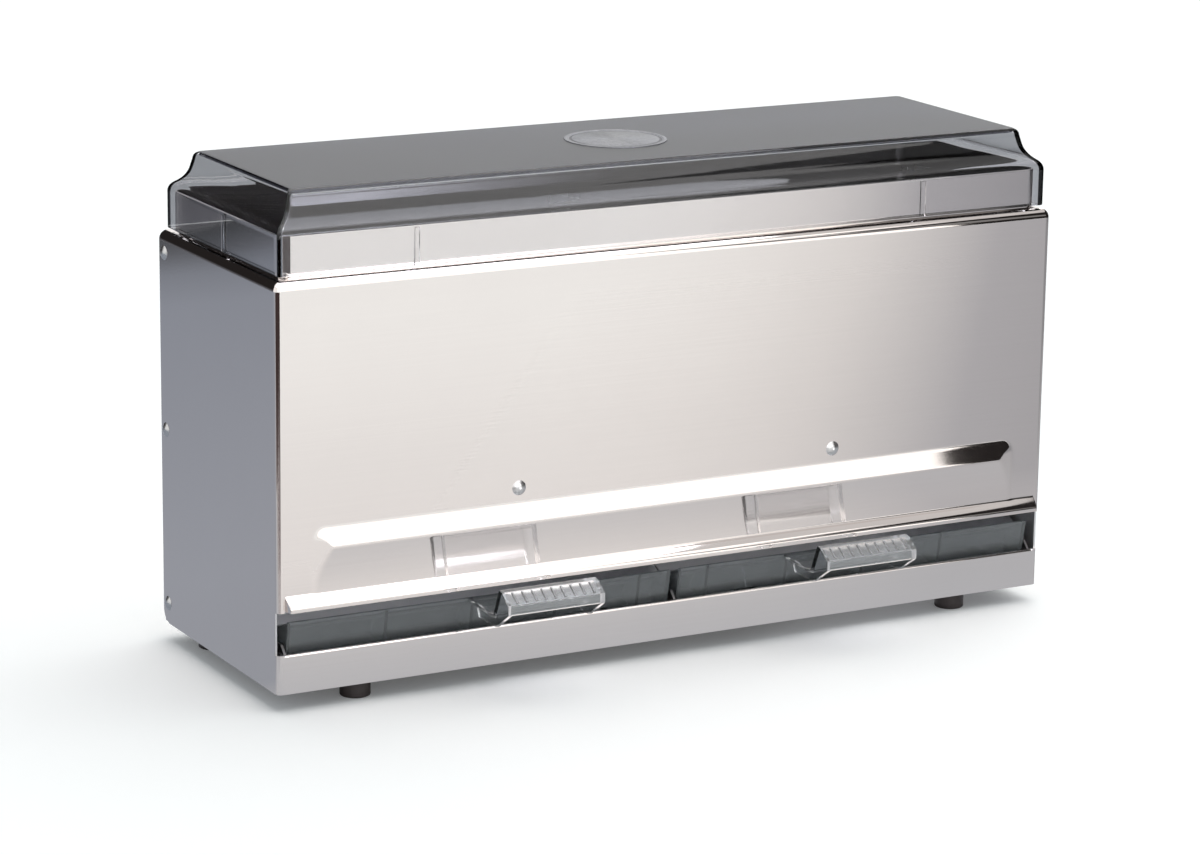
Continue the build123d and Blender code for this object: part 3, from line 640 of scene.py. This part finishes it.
# Rod, rings and springs
# Both levers turn on one ground steel rod. A push-on ring at each end keeps it in its brackets, and a
# drawn-wire torsion spring round it lifts each lever again.
rod_steel = steel("rod_steel", (0.70, 0.70, 0.70), (0.58, 0.58, 0.59), 0.2,
                  stretch=(2500.0, 120.0, 120.0), roughness=0.2, roughness_spread=0.06, grain=0.8, waves=0.0)
spring_steel = steel("spring_steel", (0.42, 0.42, 0.43), (0.30, 0.30, 0.31), 0.2,
                     stretch=(900.0, 900.0, 900.0), roughness=0.34, roughness_spread=0.1, grain=0.5,
                     waves=0.0)
stand_for("lever_rod", "pivot_rod", "case", [rod_steel], sharp=40.0)
stand_for("rod_retaining_rings", "push_on_rings", "case", [spring_steel], sharp=40.0)
for side in ("left", "right"):
    stand_for(f"{side}_lever_spring", f"{side}_torsion_spring", "case", [spring_steel],
              sharp=60.0)

# Levers
# Each lever is one clear injection moulding that turns on the rod: a wall across the slot, a seat and
# fins behind it, and a trough and a press pad in front. The mould leaves the wall, the seat and the fins
# satin, the pad's ridged top slightly frosted and the rest polished.
moulded, given, result = surface_group(
    "moulded_skin",
    [("Scale", 60.0), ("Texture", 1.0), ("Roughness", 0.05), ("Roughness spread", 0.03)],
    ["Height", "Roughness", "Tone"])
coords = add(moulded, "ShaderNodeTexCoord")
ripples = add(moulded, "ShaderNodeTexNoise", Detail=2.0, Roughness=0.5)
moulded.links.new(coords.outputs["Object"], ripples.inputs["Vector"])
moulded.links.new(given.outputs["Scale"], ripples.inputs["Scale"])
fine = add(moulded, "ShaderNodeTexNoise", Scale=2600.0, Detail=2.0, Roughness=0.6)
moulded.links.new(coords.outputs["Object"], fine.inputs["Vector"])
rough = add(moulded, "ShaderNodeMath", operation="MULTIPLY_ADD")
moulded.links.new(fine.outputs["Fac"], rough.inputs[0])
moulded.links.new(given.outputs["Texture"], rough.inputs[1])
moulded.links.new(ripples.outputs["Fac"], rough.inputs[2])
moulded.links.new(rough.outputs[0], result.inputs["Height"])
centred = add(moulded, "ShaderNodeMath", operation="SUBTRACT")
centred.inputs[1].default_value = 0.5
moulded.links.new(ripples.outputs["Fac"], centred.inputs[0])
spread = add(moulded, "ShaderNodeMath", operation="MULTIPLY_ADD")
moulded.links.new(centred.outputs[0], spread.inputs[0])
moulded.links.new(given.outputs["Roughness spread"], spread.inputs[1])
moulded.links.new(given.outputs["Roughness"], spread.inputs[2])
moulded.links.new(spread.outputs[0], result.inputs["Roughness"])
moulded.links.new(ripples.outputs["Fac"], result.inputs["Tone"])


def plastic(name, light, dark, see_through, bump, **skin):
    """Moulded plastic whose tint runs between two colours, with the moulded skin's values by name."""
    material = bpy.data.materials.new(name)
    tree, shader = nodes_of(material)
    shader.inputs["IOR"].default_value = 1.49
    shader.inputs["Transmission Weight"].default_value = see_through
    surface = add(tree, "ShaderNodeGroup", node_tree=moulded)
    for label, value in skin.items():
        surface.inputs[label.replace("_", " ").capitalize()].default_value = value
    tone = add(tree, "ShaderNodeMix", data_type="RGBA")
    tone.inputs["A"].default_value = (*dark, 1.0)
    tone.inputs["B"].default_value = (*light, 1.0)
    tree.links.new(surface.outputs["Tone"], tone.inputs["Factor"])
    tree.links.new(tone.outputs["Result"], shader.inputs["Base Color"])
    tree.links.new(surface.outputs["Roughness"], shader.inputs["Roughness"])
    relief = add(tree, "ShaderNodeBump", Strength=bump, Distance=0.0003)
    tree.links.new(surface.outputs["Height"], relief.inputs["Height"])
    tree.links.new(relief.outputs["Normal"], shader.inputs["Normal"])
    return material


clear_plastic = plastic("clear_plastic", (0.97, 0.98, 0.985), (0.95, 0.96, 0.97), 1.0, 0.04,
                        scale=90.0, texture=0.0, roughness=0.04, roughness_spread=0.03)
satin_plastic = plastic("satin_clear_plastic", (0.72, 0.75, 0.76), (0.66, 0.69, 0.70), 0.86, 0.06,
                        scale=60.0, texture=0.3, roughness=0.14, roughness_spread=0.06)
frosted_plastic = plastic("frosted_clear_plastic", (0.98, 0.985, 0.99), (0.93, 0.935, 0.945), 0.84, 0.12,
                          scale=500.0, texture=0.3, roughness=0.16, roughness_spread=0.10)
pale_plastic = plastic("pale_clear_plastic", (0.97, 0.975, 0.985), (0.92, 0.93, 0.94), 0.80, 0.05,
                       scale=120.0, texture=0.1, roughness=0.08, roughness_spread=0.06)
pad_back = front - 1.0 * mm
pad_face = front - 39.0 * mm
grip_back = front - 29.0 * mm
pad_middle, pad_half, web_wall = 88.5 * mm, 26.0 * mm, 2.0 * mm
clear, satin, frosted, pale = range(4)
for side in ("left", "right"):
    lever = stand_for(f"{side}_lever", f"{side}_press_lever", f"{side}_lever",
                      [clear_plastic, satin_plastic, frosted_plastic, pale_plastic])
    for polygon in lever.data.polygons:
        place, facing = polygon.center, polygon.normal
        from_end = pad_half - abs(abs(place.x) - pad_middle)
        grip = place.y < grip_back and facing.z > 0.3
        web_rim = place.y < pad_back and from_end < web_wall and facing.z < -0.2 and abs(facing.x) < 0.2
        if place.y < pad_face and facing.y < -0.9:
            polygon.material_index = pale
        elif grip or web_rim:
            polygon.material_index = frosted
        else:
            polygon.material_index = satin if place.y > pad_back else clear
    rounded = lever.modifiers.new("moulded_edges", "BEVEL")
    rounded.width = 0.2 * mm
    rounded.segments = 3
    rounded.limit_method = "ANGLE"
    rounded.angle_limit = math.radians(30.0)
    rounded.harden_normals = True

# Feet and their screws
# Four round feet of dark brown-black rubber, moulded with a slight texture, each held by a zinc-plated
# screw driven down through the pan.
foot_rubber = bpy.data.materials.new("foot_rubber")
tree, shader = nodes_of(foot_rubber)
coords = add(tree, "ShaderNodeTexCoord")
bloom = add(tree, "ShaderNodeTexNoise", Scale=160.0, Detail=4.0, Roughness=0.6)
tree.links.new(coords.outputs["Object"], bloom.inputs["Vector"])
tone = add(tree, "ShaderNodeMix", data_type="RGBA")
tone.inputs["A"].default_value = (0.026, 0.017, 0.016, 1.0)
tone.inputs["B"].default_value = (0.052, 0.037, 0.035, 1.0)
tree.links.new(bloom.outputs["Fac"], tone.inputs["Factor"])
tree.links.new(tone.outputs["Result"], shader.inputs["Base Color"])
shader.inputs["Roughness"].default_value = 0.5
relief = add(tree, "ShaderNodeBump", Strength=0.3, Distance=0.0003)
tree.links.new(bloom.outputs["Fac"], relief.inputs["Height"])
tree.links.new(relief.outputs["Normal"], shader.inputs["Normal"])
for corner in ("front_left", "front_right", "rear_left", "rear_right"):
    stand_for(f"foot_{corner}", f"{corner}_rubber_foot", "case", [foot_rubber])
screw_steel = steel("screw_steel", (0.72, 0.72, 0.68), (0.60, 0.61, 0.60), 0.15,
                    stretch=(500.0, 500.0, 500.0), roughness=0.28, roughness_spread=0.1, grain=0.4,
                    waves=0.0)
stand_for("foot_screws", "foot_screw_heads", "case", [screw_steel])

# Lid
# A smoked clear injection moulding that lifts off: an upright skirt with locating ribs inside it, a
# stepped crown and a finely textured top.
smoke_colour = (0.30, 0.33, 0.42, 1.0)
smoke_density = 26.0
smoked_clear = plastic("smoked_clear", (0.985, 0.985, 0.99), (0.975, 0.975, 0.98), 1.0, 0.0, scale=30.0,
                       texture=0.0, roughness=0.01, roughness_spread=0.01)
smoked_top = plastic("smoked_top", (0.095, 0.10, 0.14), (0.06, 0.07, 0.105), 0.90, 0.10, scale=25.0,
                     texture=1.0, roughness=0.40, roughness_spread=0.05)
for material in (smoked_clear, smoked_top):
    tree = material.node_tree
    smoke = add(tree, "ShaderNodeVolumeAbsorption", Color=smoke_colour, Density=smoke_density)
    tree.links.new(smoke.outputs[0], tree.nodes["Material Output"].inputs["Volume"])

lid_low, lid_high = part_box("lid")
lid_wall = 2.4 * mm
lid_corner = 1.6 * mm
inner_corner = 0.5 * mm
rim_round = 0.3 * mm
crown_height = 17.9 * mm
boss_rise = 0.5 * mm
lid_flat = lid_high.z - boss_rise
skirt_top = lid_flat - crown_height
rib_places = (-141.0 * mm, 141.0 * mm)
rib_half, rib_rise, rib_ramp = 1.0 * mm, 0.45 * mm, 0.25 * mm
rib_foot = rib_half + rib_ramp


def arc_through(a, b, c, steps):
    """Points after a on the arc through a, b and c."""
    (ax, ay), (bx, by), (cx, cy) = a, b, c
    d = 2 * (ax * (by - cy) + bx * (cy - ay) + cx * (ay - by))
    sa, sb, sc = ax * ax + ay * ay, bx * bx + by * by, cx * cx + cy * cy
    x = (sa * (by - cy) + sb * (cy - ay) + sc * (ay - by)) / d
    y = (sa * (cx - bx) + sb * (ax - cx) + sc * (bx - ax)) / d
    radius = math.hypot(ax - x, ay - y)
    start = math.atan2(ay - y, ax - x)
    turn = math.atan2(cy - y, cx - x) - start
    turn = (turn + math.pi) % (2 * math.pi) - math.pi
    angles = [start + turn * step / steps for step in range(1, steps + 1)]
    return [(x + radius * math.cos(angle), y + radius * math.sin(angle)) for angle in angles]


# The crown in section, by distance in from the skirt and height over the skirt's top, in mm
crown = [(0.0, -3.0)]
crown += arc_through((0.0, -3.0), (0.75, 0.2), (2.8, 2.4), 8)
crown += arc_through((2.8, 2.4), (6.2, 5.6), (8.4, 10.4), 10)
crown += [(9.4, 14.4)]
crown += arc_through((9.4, 14.4), (10.35, 16.8), (12.5, 17.9), 7) + [(12.9, 17.9)]
crown = [(inward * mm, height * mm) for inward, height in crown]

lid_middle = (lid_low + lid_high) / 2
lid_half = (lid_high - lid_low) / 2
corner_steps = 4
corner_support = 0.3 * mm


def lid_loop(inset, height, radius, ribs):
    """One level of the lid: a rectangle with small round corners, and its ribs where it has them."""
    points = []
    half_x, half_y = lid_half.x - inset, lid_half.y - inset
    for quarter in range(4):
        turn = Matrix.Rotation(quarter * math.pi / 2, 2)
        along, across = (half_x, half_y) if quarter % 2 == 0 else (half_y, half_x)
        stations = []
        for place in (rib_places if quarter % 2 == 0 else (0.0,)):
            for offset, rise in ((-rib_foot, 0), (-rib_half, 1), (rib_half, 1), (rib_foot, 0)):
                stations.append((place + offset, -across + rise * rib_rise * ribs))
        near_corner = along - radius - corner_support
        for x, y in [(-near_corner, -across)] + stations + [(near_corner, -across)]:
            points.append(turn @ Vector((x, y)))
        for step in range(corner_steps + 1):
            angle = -math.pi / 2 + step / corner_steps * math.pi / 2
            corner = Vector((along - radius, -across + radius))
            points.append(turn @ (corner + radius * Vector((math.cos(angle), math.sin(angle)))))
    return [Vector((lid_middle.x + x, lid_middle.y + y, height)) for x, y in points]


# Levels down the inside and up the outside: inset, height, corner radius and share of the ribs
inner = [(crown[-1][0], lid_flat - lid_wall, inner_corner, 0)]
for before, here, after in list(zip(crown, crown[1:], crown[2:]))[::-1]:
    along = (Vector(after) - Vector(before)).normalized()
    inner.append((here[0] + lid_wall * along.y, skirt_top + here[1] - lid_wall * along.x, inner_corner, 0))
rib_top = skirt_top - 3.5 * mm
skirt_end = skirt_top - 3.3 * mm
rim_low = lid_low.z + rim_round
rim_high = rim_low + support
inner += [(lid_wall, rib_top + rib_ramp, inner_corner, 0), (lid_wall, rib_top, inner_corner, 1),
          (lid_wall, rim_high, inner_corner, 1), (lid_wall, rim_low, inner_corner, 1),
          (lid_wall - rim_round, lid_low.z, inner_corner + support, 1)]
outer = [(rim_round, lid_low.z, lid_corner, 0), (0.0, rim_low, lid_corner, 0),
         (0.0, rim_high, lid_corner, 0), (0.0, skirt_end, lid_corner, 0)]
outer += [(inward, skirt_top + height, lid_corner, 0) for inward, height in crown]
loops = [lid_loop(*level) for level in inner + outer]
bm = bmesh.new()
row = [bm.verts.new(place) for place in loops[0]]
edges = [bm.edges.new(pair) for pair in zip(row, row[1:] + row[:1])]
inner_ring = row[:]
for places in loops[1:]:
    edges = raise_row(bm, row, edges, places)
for ring in (inner_ring, row):
    bmesh.ops.contextual_create(bm, geom=ring)
top_skin = 0.2 * mm
lid_shell = finish_mesh("lid_shell", bm, [smoked_clear, smoked_top], sharp=50.0)
for polygon in lid_shell.data.polygons:
    polygon.material_index = int(polygon.center.z > lid_flat - top_skin)
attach(lid_shell, "lid")
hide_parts("lid")

# Lid roundel
# A round boss moulded on the middle of the lid: a raised rim, a groove and, inside it, a plain disc with
# fine rings from where the mould was turned.
roundel_middle = Vector((lid_middle.x, lid_middle.y, 0.0))
roundel_radius, roundel_foot = 26.0, -0.3
groove_top = lid_flat + 0.16 * mm
roundel_plastic = bpy.data.materials.new("roundel_plastic")
tree, shader = nodes_of(roundel_plastic)
shader.inputs["Metallic"].default_value = 0.8
shader.inputs["Anisotropic"].default_value = 0.8
grooves = add(tree, "ShaderNodeTangent", direction_type="RADIAL", axis="Z")
tree.links.new(grooves.outputs["Tangent"], shader.inputs["Tangent"])
coords = add(tree, "ShaderNodeTexCoord")
centre = add(tree, "ShaderNodeMapping", vector_type="POINT")
centre.inputs["Location"].default_value = (-lid_middle.x, -lid_middle.y, 0.0)
tree.links.new(coords.outputs["Object"], centre.inputs["Vector"])
rings = add(tree, "ShaderNodeTexWave", wave_type="RINGS", rings_direction="Z", Scale=400.0, Distortion=0.0)
tree.links.new(centre.outputs["Vector"], rings.inputs["Vector"])
mottle = add(tree, "ShaderNodeTexNoise", Scale=520.0, Detail=3.0, Roughness=0.7)
tree.links.new(coords.outputs["Object"], mottle.inputs["Vector"])
height = add(tree, "ShaderNodeMath", operation="ADD")
tree.links.new(rings.outputs["Fac"], height.inputs[0])
tree.links.new(mottle.outputs["Fac"], height.inputs[1])
relief = add(tree, "ShaderNodeBump", Strength=0.35, Distance=0.0003)
tree.links.new(height.outputs[0], relief.inputs["Height"])
tree.links.new(relief.outputs["Normal"], shader.inputs["Normal"])
tone = add(tree, "ShaderNodeMix", data_type="RGBA")
tone.inputs["A"].default_value = (0.07, 0.072, 0.08, 1.0)
tone.inputs["B"].default_value = (0.30, 0.305, 0.32, 1.0)
tree.links.new(mottle.outputs["Fac"], tone.inputs["Factor"])
tree.links.new(tone.outputs["Result"], shader.inputs["Base Color"])
shader.inputs["Roughness"].default_value = 0.40
# The groove, the boss's low outer edge and its underside are near black: a painted shade.
roundel_groove_shade = plastic("roundel_groove_shade", (0.06, 0.06, 0.07), (0.035, 0.035, 0.045), 0.0, 0.1, scale=400.0,
                         texture=0.5, roughness=0.45, roughness_spread=0.1)

# The boss in section, by distance from its middle and height over the lid's flat top, in mm
bm = bmesh.new()
profile = [(0.0, 0.24), (21.9, 0.24), (22.2, 0.04), (23.2, 0.04), (23.6, 0.40), (24.0, 0.5), (25.2, 0.5),
           (25.6, 0.35), (25.7, 0.03), (roundel_radius, 0.02), (roundel_radius, roundel_foot),
           (0.0, roundel_foot)]
line = [bm.verts.new(roundel_middle + Vector((along * mm, 0, lid_flat + up * mm))) for along, up in profile]
edges = [bm.edges.new(pair) for pair in zip(line, line[1:])]
bmesh.ops.spin(bm, geom=line + edges, cent=roundel_middle, axis=(0, 0, 1), angle=2 * math.pi, steps=96,
               use_merge=True, use_duplicate=False)
lid_roundel = finish_mesh("lid_roundel", bm, [roundel_plastic, roundel_groove_shade], sharp=40.0)
# Faces below the groove's top take the near-black painted shade.
for polygon in lid_roundel.data.polygons:
    polygon.material_index = int(polygon.center.z < groove_top)
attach(lid_roundel, "lid")
